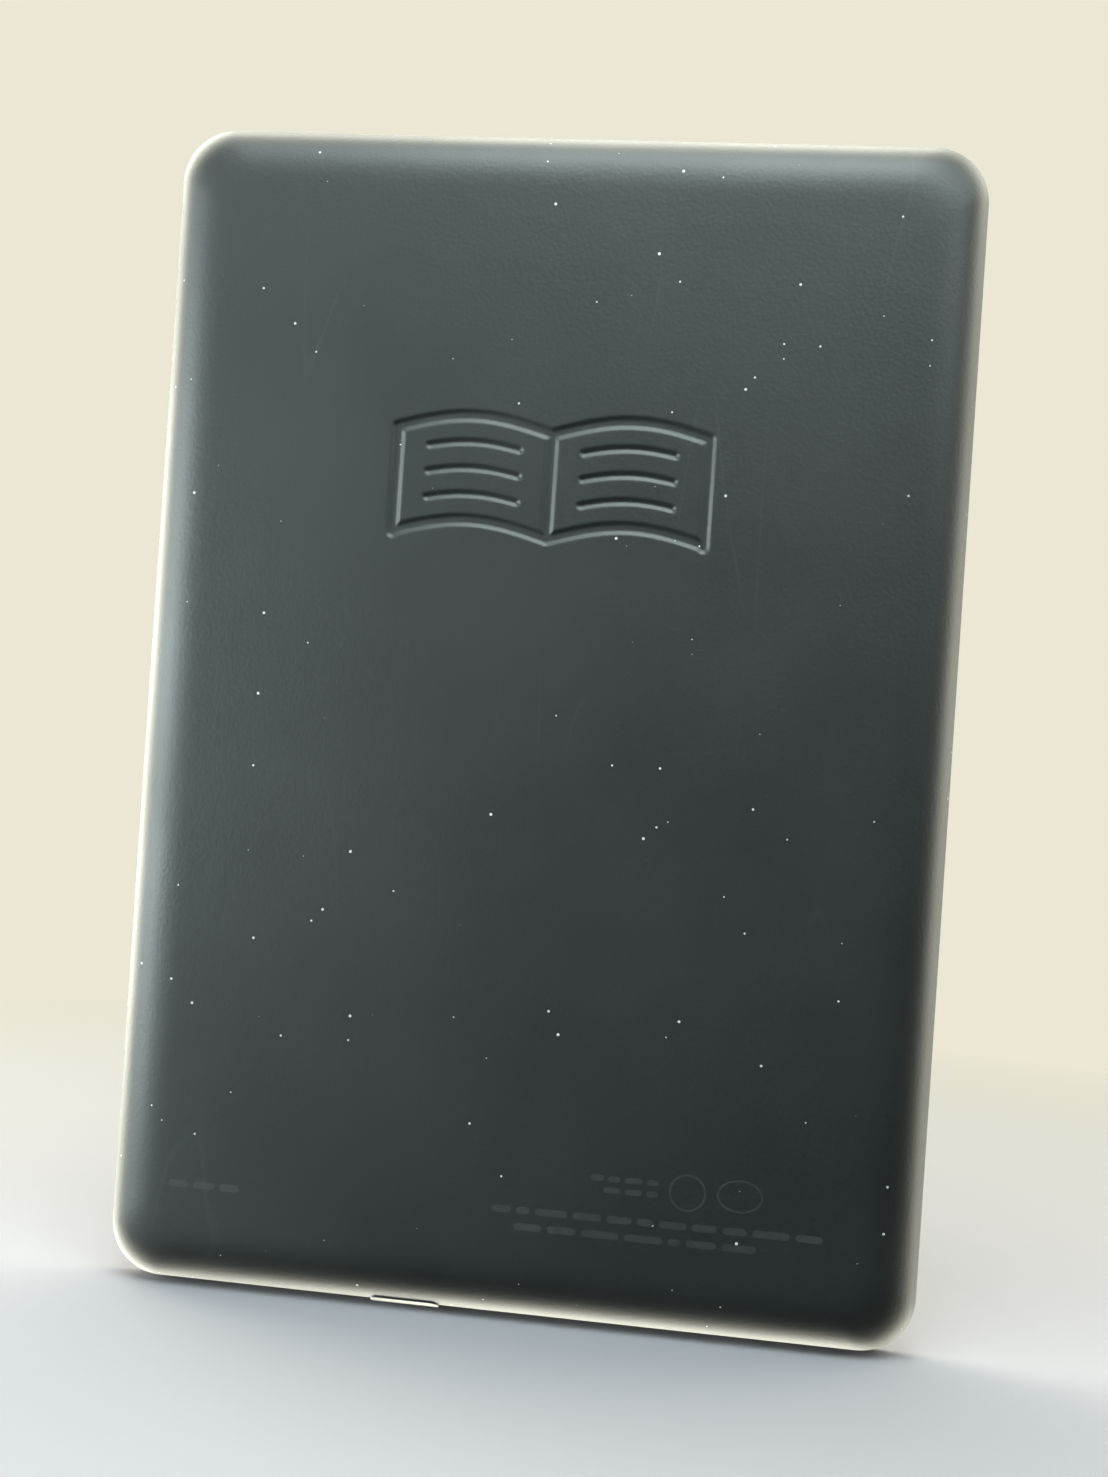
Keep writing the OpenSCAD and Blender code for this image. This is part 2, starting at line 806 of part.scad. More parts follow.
module battery_leads() {
    plug_end = 43.5;
    color([0.6, 0.12, 0.1]) for (k = [-1:1])
        translate([plug_x + k * wire_pitch, pcm_y, wire_z]) rotate([90, 0, 0])
            cylinder(r = wire_r, h = pcm_y - plug_end, $fn = 24);
}

module battery_plug() {
    color([0.93, 0.92, 0.88]) block(plug_x, 41.25, 6.4, 4.5, wire_z - 0.6, wire_z + 0.6);
}

module battery_socket() {
    color([0.93, 0.92, 0.88]) difference() {
        block(plug_x, 39, 8, 4.4, board_z - 1.7, board_z);
        block(plug_x, 40.5, 6.5, 3.1, wire_z - 0.65, wire_z + 0.65);
    }
}

// Antenna ---------------------------------------------------------------------------------

module wifi_antenna() {
    color([0.8, 0.5, 0.2]) difference() {
        block(0, 153.5, 36, 7, wall, wall + antenna_t);
        block(3, 154.6, 26, 1.2, wall - cut, wall + cut);
        block(-2, 151.8, 26, 1, wall - cut, wall + cut);
    }
}

// The coaxial lead: along the antenna, down beside the battery and in to the board
module antenna_cable() {
    foot_y = socket_at[1];
    color([0.12, 0.12, 0.12]) translate([0, 0, coax_z]) {
        translate([antenna_end, antenna_y, 0]) rotate([0, -90, 0])
            cylinder(r = coax_r, h = antenna_end - coax_x - coax_bend);
        translate([coax_x + coax_bend, antenna_y - coax_bend, 0]) rotate([0, 0, 90])
            rotate_extrude(angle = 90) translate([coax_bend, 0]) circle(coax_r);
        translate([coax_x, antenna_y - coax_bend, 0]) rotate([90, 0, 0])
            cylinder(r = coax_r, h = antenna_y - 2 * coax_bend - foot_y);
        translate([coax_x + coax_bend, foot_y + coax_bend, 0]) rotate([0, 0, 180])
            rotate_extrude(angle = 90) translate([coax_bend, 0]) circle(coax_r);
        translate([coax_x + coax_bend, foot_y, 0]) rotate([0, 90, 0])
            cylinder(r = coax_r, h = socket_at[0] - 1.4 - coax_x - coax_bend);
    }
}

module antenna_plug() {
    color([0.82, 0.66, 0.3]) translate([socket_at[0], socket_at[1], coax_z - 0.6])
        difference() {
            cylinder(r = 1.4, h = 1.5);
            translate([0, 0, 1]) cylinder(r = 0.9, h = cut);
        }
}

module antenna_socket() {
    foot = coax_z + 0.9;
    color([0.82, 0.66, 0.3]) translate([socket_at[0], socket_at[1], 0]) {
        translate([0, 0, foot]) cylinder(r = 1.3, h = board_z - foot);
        translate([0, 0, foot - 0.4]) cylinder(r = 0.8, h = 0.5);
    }
}

upright() rear_cover();
upright() front_bezel();
upright() bezel_tape();
upright() mid_frame();
upright() frame_screws();
upright() boss_inserts();
upright() touch_film();
upright() light_guide();
upright() protective_sheet();
upright() ink_laminate();
upright() glass_backplane();
upright() display_tape();
upright() window_gasket();
upright() driver_chips();
upright() light_strip();
upright() light_strip_leds();
upright() display_flex();
upright() touch_flex();
upright() light_flex();
upright() main_board();
upright() board_screws();
upright() processor();
upright() memory_chip();
upright() storage_chip();
upright() power_chip();
upright() display_power_chip();
upright() radio_module();
upright() hall_sensor();
upright() board_capacitors();
upright() board_coils();
upright() processor_shield();
upright() radio_shield();
upright() display_connector();
upright() touch_connector();
upright() light_connector();
upright() usb_shell();
upright() usb_tongue();
upright() usb_contacts();
upright() switch_body();
upright() switch_plunger();
upright() power_button();
upright() status_led();
upright() led_light_pipe();
upright() battery_cell();
upright() battery_frame();
upright() battery_screws();
upright() battery_tape();
upright() battery_pad();
upright() battery_board();
upright() battery_leads();
upright() battery_plug();
upright() battery_socket();
upright() wifi_antenna();
upright() antenna_cable();
upright() antenna_plug();
upright() antenna_socket();
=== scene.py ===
"""Looks of the e-reader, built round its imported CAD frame.

Shapes are worked out in millimetres with the reader lying on its back, as in its CAD source: x to
the right and y up as seen from the screen side, z from the back face (0) to the front (BODY_T).
stand_up() turns them into the frame's metres, where the screen faces -Y and Z is the height.
"""
import json
import math
import random

import bmesh
import bpy
import numpy as np
from mathutils import Matrix, Vector


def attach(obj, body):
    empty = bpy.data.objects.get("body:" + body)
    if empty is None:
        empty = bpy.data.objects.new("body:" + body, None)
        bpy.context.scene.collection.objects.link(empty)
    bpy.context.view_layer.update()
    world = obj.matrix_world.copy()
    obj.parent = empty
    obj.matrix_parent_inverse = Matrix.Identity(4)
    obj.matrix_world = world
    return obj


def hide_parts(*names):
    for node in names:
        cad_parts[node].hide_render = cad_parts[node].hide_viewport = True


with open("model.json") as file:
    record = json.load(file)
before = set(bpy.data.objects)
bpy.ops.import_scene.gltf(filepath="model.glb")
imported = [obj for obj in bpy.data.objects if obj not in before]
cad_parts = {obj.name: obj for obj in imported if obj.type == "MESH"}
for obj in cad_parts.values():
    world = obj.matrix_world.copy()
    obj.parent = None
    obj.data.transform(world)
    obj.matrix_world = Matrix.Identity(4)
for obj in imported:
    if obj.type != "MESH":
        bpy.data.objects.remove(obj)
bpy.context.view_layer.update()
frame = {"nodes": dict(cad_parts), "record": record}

# Sizes in millimetres, the same as in the CAD source
BODY_W = 117.0
BODY_H = 169.0
BODY_T = 9.1
CORNER_R = 7.8
WALL = 1.4
CURVE_W = 7.6
CURVE_H = 6.6
SIDE_R = 4.6
SPLIT_Z = BODY_T - 1.8
SPLIT_GAP = 0.1
LIP_IN = 0.8
LIP_H = 0.7
PROUD = 0.35
ACTIVE_W = 90.6
ACTIVE_H = 122.4
ACTIVE_Y = 29.6
WINDOW_GAP = 0.8
BEZEL_PLATE = 0.95
SCREEN_Z = BODY_T - 1.05
MARK_W = 46.0
MARK_H = 17.0
MARK_Y = 119.0
MARK_STROKE = 1.7
MARK_DEPTH = 0.35

SPAN_X = BODY_W / 2 - CORNER_R
MIDDLE_Y = BODY_H / 2
BACK_R = (CURVE_W**2 + CURVE_H**2 - 2 * CURVE_W * SIDE_R) / (2 * (CURVE_H - SIDE_R))
SIDE_AXIS = CORNER_R - SIDE_R
BACK_AXIS = CORNER_R - CURVE_W
JOIN_ANGLE = math.atan2(CURVE_H - BACK_R, SIDE_AXIS - BACK_AXIS)

# The visual cover's own curved edge, in millimetres: how far in from the outline it begins, the
# outline's corner radius there, and the powers of its two directions, both 1 on a plain ellipse
EASE_W = 10.0
EASE_R = 4.3
EASE_IN_POWER = 2 / 3
EASE_DOWN_POWER = 2 / 1.8

# The pressed mark's sloping edge: how far outside its strokes it begins, and its width
MARK_LIP = 0.2
MARK_SLOPE = 0.72

# Fineness of the meshes: steps round a corner, and the angle in degrees from which an edge is sharp
CORNER_STEPS = 20
SHARP_ANGLE = 40

# Openings in the bottom edge: x, z, length, height
SOCKET_SLOT = (0.0, 4.4, 9.2, 3.2)
BUTTON_SLOT = (13.6, 4.2, 10.3, 2.5)
LIGHT_HOLE = (5.9, 4.0, 1.3, 1.3)

# Soft lights: an even ring round the reader's edge, a little to its screen side and
# stronger towards +X, and three behind it, each an angle round its middle, from +X to the top, and
# its watts. Sizes are in metres and angles in degrees.
SOFTBOX_SIZE = 0.3
SOFTBOX_AWAY = 0.42
RING_BOXES = 8
RING_TILT = -20.0
RING_WATTS = 2.0
RING_LEAN = 1.0
RING_COLOUR = (1.0, 1.0, 0.85)
BACK_TILT = 30.0
BACK_WATTS = {0.0: 4.0, 90.0: 3.5, 135.0: 1.5}
BACK_COLOUR = (0.85, 1.0, 1.0)
CREAM = (0.83, 0.80, 0.66)

# Camera: its place in metres, its azimuth, elevation and roll in degrees, and its lens in mm
CAMERA_PLACE = (-0.0394, 0.2691, 0.0816)
CAMERA_ANGLES = (-7.814, -0.29, 3.878)
CAMERA_LENS = 46.31


# Mesh helpers --------------------------------------------------------------------------------

def stand_up(points):
    """Flat millimetres to the frame's metres."""
    p = np.asarray(points, float)
    return np.stack([p[:, 0], BODY_T / 2 - p[:, 2], p[:, 1] + PROUD], 1) / 1000


def mesh_object(name, points, faces, body="reader", smooth=True):
    """A mesh from flat millimetres, riding on a body."""
    mesh = bpy.data.meshes.new(name)
    mesh.from_pydata(stand_up(points).tolist(), [], faces)
    mesh.validate()
    obj = bpy.data.objects.new(name, mesh)
    bpy.context.scene.collection.objects.link(obj)
    mesh.polygons.foreach_set("use_smooth", [smooth] * len(mesh.polygons))
    mesh.update()
    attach(obj, body)
    return obj


def arc(centre, radius, start, end, steps):
    """Points on an arc, its angles in radians."""
    angles = np.linspace(start, end, steps + 1)
    return [(centre[0] + radius * math.cos(a), centre[1] + radius * math.sin(a)) for a in angles]


def loop(xs, ys, radius):
    """A closed rounded outline: straight sides carry the nodes xs and ys, corners are arcs of
    radius round the rectangle that those nodes span."""
    low_x, high_x, low_y, high_y = xs[0], xs[-1], ys[0], ys[-1]
    quarter = math.pi / 2
    points = []
    sides = (
        ([(x, low_y - radius) for x in xs], (high_x, low_y), -quarter),
        ([(high_x + radius, y) for y in ys], (high_x, high_y), 0.0),
        ([(x, high_y + radius) for x in xs[::-1]], (low_x, high_y), quarter),
        ([(low_x - radius, y) for y in ys[::-1]], (low_x, low_y), 2 * quarter),
    )
    for side, corner, start in sides:
        points += side
        points += arc(corner, radius, start, start + quarter, CORNER_STEPS)[1:-1]
    return np.array(points)


def band(first, second):
    """Quads between two closed rows of vertex numbers, triangles where one of them stays put."""
    faces = []
    count = len(first)
    for k in range(count):
        n = (k + 1) % count
        corners = [first[k], first[n], second[n], second[k]]
        faces.append([c for i, c in enumerate(corners) if c != corners[i - 1]])
    return faces


def smoothstep(t):
    t = np.clip(t, 0.0, 1.0)
    return t * t * (3 - 2 * t)


def prism(points, z0, z1, base=0):
    """Vertices and faces of an upright prism on a flat outline, numbered from base."""
    count = len(points)
    verts = [(x, y, z) for z in (z0, z1) for x, y in points]
    faces = [[base + k for k in range(count)][::-1], [base + count + k for k in range(count)]]
    for k in range(count):
        n = (k + 1) % count
        faces.append([base + k, base + n, base + count + n, base + count + k])
    return verts, faces


def pill_outline(length, height, steps=10):
    """A closed pill shape centred on the origin, in its own plane."""
    half = (length - height) / 2
    right = arc((half, 0), height / 2, -math.pi / 2, math.pi / 2, steps)
    left = arc((-half, 0), height / 2, math.pi / 2, 3 * math.pi / 2, steps)
    return right + left


# Rear cover ----------------------------------------------------------------------------------

def book_strokes():
    """The open-book mark as polylines, each with its width."""
    half = MARK_W / 2
    low = -MARK_H / 2
    high = MARK_H / 2 - 2.2
    bow = 2.2

    def page_line(x0, x1, y):
        xs = np.linspace(x0, x1, 17)
        return np.stack([xs, y + bow * np.sin(math.pi * xs / half)], 1)

    edge = half - MARK_STROKE / 2
    strokes = [
        (page_line(0, edge, low), MARK_STROKE),
        (page_line(0, edge, high), MARK_STROKE),
        (np.array([(edge, low), (edge, high)]), MARK_STROKE),
        (np.array([(0.0, low), (0.0, high)]), MARK_STROKE),
    ]
    for k in (1, 2, 3):
        level = low + (high - low) * k / 4
        strokes.append((page_line(half * 0.2, half * 0.76, level), MARK_STROKE * 0.6))
    mirrored = [(line * (-1, 1), width) for line, width in strokes]
    return strokes + mirrored


def distance_to_mark(x, y):
    """Signed distance from each point to the edge of the mark's strokes, inside negative."""
    nearest = np.full(x.shape, 99.0)
    for line, width in book_strokes():
        for a, b in zip(line[:-1], line[1:]):
            run = b - a
            along = ((x - a[0]) * run[0] + (y - a[1]) * run[1]) / (run @ run)
            along = np.clip(along, 0, 1)
            away = np.hypot(x - a[0] - along * run[0], y - a[1] - along * run[1])
            nearest = np.minimum(nearest, away - width / 2)
    return nearest


def stepped(low, high, fine_low, fine_high, coarse, fine):
    """Node positions from low to high, closer together between fine_low and fine_high."""
    parts = [
        np.linspace(low, fine_low, max(2, round((fine_low - low) / coarse)))[:-1],
        np.linspace(fine_low, fine_high, round((fine_high - fine_low) / fine)),
        np.linspace(fine_high, high, max(2, round((high - fine_high) / coarse)))[1:],
    ]
    return np.concatenate(parts)


def cover_sections():
    """The cover's section outside the flat back, each point as (depth in from the outline, radius
    of the outline's corners there, z): over the curved edge, across the parting line, and back
    down inside. The curved edge eases in from the flat, further in than the CAD's two arcs."""
    back = (BACK_AXIS, BACK_R)
    side = (SIDE_AXIS, CURVE_H)
    rim = CORNER_R - LIP_IN
    inner = CORNER_R - WALL
    soften = 0.12
    steps = 34
    eased = []
    for k in range(steps + 1):
        turn = math.pi / 2 * k / steps
        depth = EASE_W * (1 - math.sin(turn) ** EASE_IN_POWER)
        z = CURVE_H * (1 - max(0.0, math.cos(turn)) ** EASE_DOWN_POWER)
        eased.append((depth, CORNER_R - (CORNER_R - EASE_R) * depth / EASE_W, z))
    straight = arc((CORNER_R - soften, SPLIT_Z - soften), soften, 0, math.pi / 2, 3)
    straight += [
        (rim, SPLIT_Z),
        (rim, SPLIT_Z + LIP_H),
        (inner, SPLIT_Z + LIP_H),
        (inner, CURVE_H),
    ]
    straight += arc(side, SIDE_R - WALL, 0, JOIN_ANGLE, 6)[1:]
    straight += arc(back, BACK_R - WALL, JOIN_ANGLE, -math.pi / 2, 8)[1:]
    return eased + [(CORNER_R - out, out, z) for out, z in straight]


def cut_openings(cover):
    """Draws the outlines of the socket's slot, the button's slot and the light's hole into the
    bottom edge. They are not cut through: the cutter's faces point inward, so the boolean leaves
    the surface closed, which is an open fault."""
    below, above = -2.0, 3.6
    verts, faces = [], []
    for x, z, length, height in (SOCKET_SLOT, BUTTON_SLOT, LIGHT_HOLE):
        outline = [(x + u, z + v) for u, v in pill_outline(length, height, 16)]
        block, block_faces = prism(outline, below, above, len(verts))
        verts += [(u, y, v) for u, v, y in block]
        faces += block_faces
    cutter = mesh_object("cutter", verts, faces, smooth=False)
    cut = cover.modifiers.new("openings", "BOOLEAN")
    cut.object = cutter
    cut.solver = "EXACT"
    settled = bpy.data.meshes.new_from_object(
        cover.evaluated_get(bpy.context.evaluated_depsgraph_get())
    )
    cover.modifiers.clear()
    cover.data = settled
    bpy.data.objects.remove(cutter)


def build_rear_cover():
    inset = EASE_W + EASE_R
    half_x = BODY_W / 2 - inset
    half_y = BODY_H / 2 - inset
    mark_y = MARK_Y - MIDDLE_Y
    beside_x = MARK_W / 2 + 1.4
    beside_y = MARK_H / 2 + 1.4
    coarse, fine = 1.8, 0.2
    xs = stepped(-half_x, half_x, -beside_x, beside_x, coarse, fine)
    ys = stepped(-half_y, half_y, mark_y - beside_y, mark_y + beside_y, coarse, fine)
    gx, gy = np.meshgrid(xs, ys)
    away = distance_to_mark(gx, gy - mark_y)
    depth = MARK_DEPTH * smoothstep((MARK_LIP - away) / MARK_SLOPE)
    points = [np.stack([gx.ravel(), gy.ravel() + MIDDLE_Y, depth.ravel()], 1)]
    nx, ny = len(xs), len(ys)
    number = np.arange(nx * ny).reshape(ny, nx)
    quads = np.stack(
        [number[:-1, :-1], number[:-1, 1:], number[1:, 1:], number[1:, :-1]], 2
    ).reshape(-1, 4)
    faces = quads.tolist()

    # The grid's border, each corner's number repeated where a ring goes round its arc
    row = []
    for side in (number[0, :], number[:, -1], number[-1, ::-1], number[::-1, 0]):
        row += side.tolist()
        row += [int(side[-1])] * (CORNER_STEPS - 1)
    base = nx * ny
    for ring_depth, radius, z in cover_sections():
        ring_x = xs * (BODY_W / 2 - ring_depth - radius) / half_x
        ring_y = ys * (BODY_H / 2 - ring_depth - radius) / half_y
        ring = loop(ring_x, ring_y + MIDDLE_Y, radius)
        points.append(np.column_stack([ring, np.full(len(ring), z)]))
        ring_row = list(range(base, base + len(ring)))
        faces += band(row, ring_row)
        row = ring_row
        base += len(ring)
    faces.append(row)
    cover = mesh_object("rear_shell", np.concatenate(points), faces)
    outward(cover)
    cut_openings(cover)
    keep_edges_sharp(cover, SHARP_ANGLE)
    return cover


def outward(obj):
    """Turns every face of a closed mesh outward."""
    work = bmesh.new()
    work.from_mesh(obj.data)
    bmesh.ops.recalc_face_normals(work, faces=work.faces)
    work.to_mesh(obj.data)
    work.free()


def keep_edges_sharp(obj, degrees):
    obj.data.polygons.foreach_set("use_smooth", [True] * len(obj.data.polygons))
    obj.data.set_sharp_from_angle(angle=math.radians(degrees))


# Front bezel ---------------------------------------------------------------------------------

def build_bezel():
    """The frame round the screen, as rings that go round its closed section."""
    edge_r = 0.9
    lip_r = 0.5
    window_r = 0.8
    nodes = 12
    outer_x = np.linspace(-SPAN_X, SPAN_X, nodes)
    outer_y = np.linspace(CORNER_R, BODY_H - CORNER_R, nodes)
    half_w = ACTIVE_W / 2 + WINDOW_GAP - window_r
    window_x = np.linspace(-half_w, half_w, nodes)
    window_y = np.linspace(
        ACTIVE_Y - WINDOW_GAP + window_r, ACTIVE_Y + ACTIVE_H + WINDOW_GAP - window_r, nodes
    )
    skirt = CORNER_R - LIP_IN + 0.1
    under = BODY_T - BEZEL_PLATE
    foot = SPLIT_Z + SPLIT_GAP
    soften = 0.1
    outside = arc((CORNER_R - soften, foot + soften), soften, -math.pi / 2, 0, 3)
    outside += arc((CORNER_R - edge_r, BODY_T - edge_r), edge_r, 0, math.pi / 2, 10)
    lip = arc((window_r + lip_r, BODY_T - lip_r), lip_r, math.pi / 2, math.pi, 8)
    sections = [(outer_x, outer_y, out, z) for out, z in outside]
    sections += [(window_x, window_y, out, z) for out, z in lip]
    sections += [(window_x, window_y, window_r, under), (outer_x, outer_y, skirt, under)]
    sections += [(outer_x, outer_y, skirt, foot)]
    points, rows = [], []
    for xs, ys, out, z in sections:
        ring = loop(xs, ys, out)
        start = sum(len(p) for p in points)
        points.append(np.column_stack([ring, np.full(len(ring), z)]))
        rows.append(list(range(start, start + len(ring))))
    faces = []
    for k, row in enumerate(rows):
        faces += band(row, rows[(k + 1) % len(rows)])
    bezel = mesh_object("bezel_frame", np.concatenate(points), faces)
    outward(bezel)
    keep_edges_sharp(bezel, SHARP_ANGLE)
    return bezel


# Printing ------------------------------------------------------------------------------------

def bars(name, boxes, z0, z1):
    """Thin rounded bars, each given as (x, y, length, height)."""
    verts, faces = [], []
    for x, y, length, height in boxes:
        outline = [(x + u, y + v) for u, v in pill_outline(length, height, 4)]
        bar, bar_faces = prism(outline, z0, z1, len(verts))
        verts += bar
        faces += bar_faces
    return mesh_object(name, verts, faces, smooth=False)


def text_row(rng, x0, x1, y, height, word, gap, ragged=0.0):
    """Bars that stand for a line of words between x0 and x1."""
    end = x1 - rng.random() * ragged * (x1 - x0)
    x = x0
    row = []
    while x < end - height * 2:
        length = min(word[0] + rng.random() * (word[1] - word[0]), end - x)
        row.append((x + length / 2, y, length, height))
        x += length + gap
    return row


def build_page():
    """A page of a book on the screen, its words as plain bars."""
    rng = random.Random(6)
    left, right = -37.0, 37.0
    paragraph = 7
    indent, short = 4.5, 26.0
    rows = text_row(rng, -16.0, 16.0, 137.0, 2.1, (5.0, 9.0), 1.6)
    pitch = 4.55
    y = 126.0
    line = 0
    while y > 42.0:
        last = line % paragraph == paragraph - 1
        first = line % paragraph == 0
        start = left + (indent if first else 0.0)
        end = right - (short if last else 0.0)
        rows += text_row(rng, start, end, y, 1.35, (2.4, 9.0), 1.35)
        y -= pitch
        line += 1
    rows += text_row(rng, left, left + 12.0, 34.5, 1.0, (3.0, 5.0), 1.0)
    rows += text_row(rng, right - 7.0, right, 34.5, 1.0, (4.0, 6.0), 1.0)
    return bars("page_print", rows, SCREEN_Z, SCREEN_Z + 0.015)


def ring_mark(x, y, half_w, half_h, line, z0, z1, base):
    """Vertices and faces of a flat ring, round or oval."""
    steps = 40
    verts = []
    for grow in (0.0, -line):
        for z in (z0, z1):
            for k in range(steps):
                a = 2 * math.pi * k / steps
                verts.append((x + (half_w + grow) * math.cos(a), y + (half_h + grow) * math.sin(a), z))
    rows = [list(range(base + r * steps, base + (r + 1) * steps)) for r in (0, 1, 3, 2)]
    faces = []
    for k, row in enumerate(rows):
        faces += band(row, rows[(k + 1) % 4])
    return verts, faces


def build_back_print():
    """Faint printing at the foot of the back: plain bars and two plain rings."""
    rng = random.Random(11)
    z0, z1 = -0.012, 0.0
    # Each row: from x, to x, y, height, shortest and longest word, gap between words
    lines = (
        (-45.0, 2.0, 16.2, 1.0, (1.6, 5.5), 0.7),
        (-36.0, -1.0, 13.9, 1.0, (1.6, 5.5), 0.7),
        (-22.0, -10.5, 21.8, 0.8, (1.6, 3.4), 0.6),
        (-22.0, -12.5, 20.2, 0.8, (1.6, 3.4), 0.6),
        (38.0, 51.0, 15.1, 1.0, (1.8, 4.0), 0.7),
    )
    rows = []
    for line in lines:
        rows += text_row(rng, *line)
    words = bars("back_print_rows", rows, z0, z1)
    verts, faces = [], []
    ring_line = 0.28
    for x, y, half_w, half_h in ((-26.05, 20.9, 2.6, 2.6), (-33.3, 21.1, 3.2, 2.3)):
        ring, ring_faces = ring_mark(x, y, half_w, half_h, ring_line, z0, z1, len(verts))
        verts += ring
        faces += ring_faces
    rings = mesh_object("back_print_rings", verts, faces, smooth=False)
    return words, rings


# Materials -----------------------------------------------------------------------------------

class Nodes:
    """A small helper for building a material's node tree."""

    def __init__(self, name):
        self.material = bpy.data.materials.new(name)
        self.material.use_nodes = True
        self.tree = self.material.node_tree
        self.shader = self.tree.nodes["Principled BSDF"]
        self.place = self.add("ShaderNodeTexCoord").outputs["Object"]

    def add(self, kind, **settings):
        node = self.tree.nodes.new(kind)
        for key, value in settings.items():
            setattr(node, key, value)
        return node

    def link(self, source, target):
        self.tree.links.new(source, target)

    def set(self, **values):
        """Uniform values on the shader's own sockets."""
        for key, value in values.items():
            self.shader.inputs[key.replace("_", " ")].default_value = value

    def noise(self, scale, detail=2.0, roughness=0.5):
        node = self.add("ShaderNodeTexNoise")
        node.inputs["Scale"].default_value = scale
        node.inputs["Detail"].default_value = detail
        node.inputs["Roughness"].default_value = roughness
        self.link(self.place, node.inputs["Vector"])
        return node.outputs["Fac"]

    def specks(self, scale, size, share):
        """1 in small round spots, in that share of a lattice's cells, else 0."""
        node = self.add("ShaderNodeTexVoronoi")
        node.inputs["Scale"].default_value = scale
        self.link(self.place, node.inputs["Vector"])
        split = self.add("ShaderNodeSeparateColor")
        self.link(node.outputs["Color"], split.inputs["Color"])
        chosen = self.math("LESS_THAN", split.outputs["Red"], share)
        reach = self.math("MULTIPLY", split.outputs["Blue"], size)
        near = self.math("LESS_THAN", node.outputs["Distance"], reach)
        return self.math("MULTIPLY", chosen, near)

    def streaks(self, scale, stretch, width):
        """1 along fine broken lines that run mostly up and down the reader, else 0."""
        squeeze = self.add("ShaderNodeMapping")
        squeeze.inputs["Rotation"].default_value = (0.0, 0.25, 0.0)
        squeeze.inputs["Scale"].default_value = (1.0, 1.0, 1.0 / stretch)
        self.link(self.place, squeeze.inputs["Vector"])
        wander = self.add("ShaderNodeTexNoise")
        wander.inputs["Scale"].default_value = scale
        wander.inputs["Detail"].default_value = 1.0
        self.link(squeeze.outputs["Vector"], wander.inputs["Vector"])
        away = self.math("ABSOLUTE", self.math("SUBTRACT", wander.outputs["Fac"], 0.5))
        broken = self.span(self.noise(40.0, 1.0), 0.0, 1.0, 0.52, 0.62)
        return self.math("MULTIPLY", self.math("LESS_THAN", away, width), broken)

    def math(self, operation, a, b=0.0):
        node = self.add("ShaderNodeMath", operation=operation)
        for socket, value in zip(node.inputs, (a, b)):
            if isinstance(value, (int, float)):
                socket.default_value = value
            else:
                self.link(value, socket)
        return node.outputs["Value"]

    def span(self, value, low, high, start=0.3, end=0.7):
        """Maps a noise value from start..end to low..high."""
        node = self.add("ShaderNodeMapRange")
        self.link(value, node.inputs["Value"])
        for socket, number in zip(node.inputs[1:5], (start, end, low, high)):
            socket.default_value = number
        return node.outputs["Result"]

    def blend(self, factor, first, second):
        """Mixes two colours, each a tuple or an output. The mix node keeps its colour inputs at
        6 and 7, and its colour output at 2."""
        node = self.add("ShaderNodeMix", data_type="RGBA")
        self.link(factor, node.inputs["Factor"])
        for index, value in ((6, first), (7, second)):
            socket = node.inputs[index]
            if isinstance(value, tuple):
                socket.default_value = (*value, 1.0)
            else:
                self.link(value, socket)
        return node.outputs[2]

    def bump(self, height, distance, strength=1.0, under=None):
        node = self.add("ShaderNodeBump")
        node.inputs["Strength"].default_value = strength
        node.inputs["Distance"].default_value = distance
        self.link(height, node.inputs["Height"])
        if under is not None:
            self.link(under, node.inputs["Normal"])
        self.link(node.outputs["Normal"], self.shader.inputs["Normal"])
        return node.outputs["Normal"]


def moulded(name, colour, roughness, grain=2200.0, depth=4e-6, vary=0.15):
    """Moulded plastic, rubber or resin: fine grain and slight changes of colour and gloss."""
    n = Nodes(name)
    cloud = n.noise(60.0, 3.0)
    darker = tuple(c * (1 - vary) for c in colour)
    lighter = tuple(min(1.0, c * (1 + vary)) for c in colour)
    n.link(n.blend(n.span(cloud, 0.0, 1.0), darker, lighter), n.shader.inputs["Base Color"])
    n.link(n.span(n.noise(900.0), roughness - 0.06, roughness + 0.06), n.shader.inputs["Roughness"])
    n.bump(n.noise(grain, 2.0), depth)
    return n


def metal(name, colour, roughness, grain=900.0, depth=2e-6):
    """Bare or plated metal, with faint blotches."""
    n = moulded(name, colour, roughness, grain, depth, 0.08)
    n.set(Metallic=1.0)
    return n


def film(name, colour, roughness):
    """Clear or coloured film, with faint ripples."""
    n = moulded(name, colour, roughness, 300.0, 3e-6, 0.05)
    n.set(IOR=1.5, Coat_Weight=0.3, Coat_Roughness=0.15)
    return n


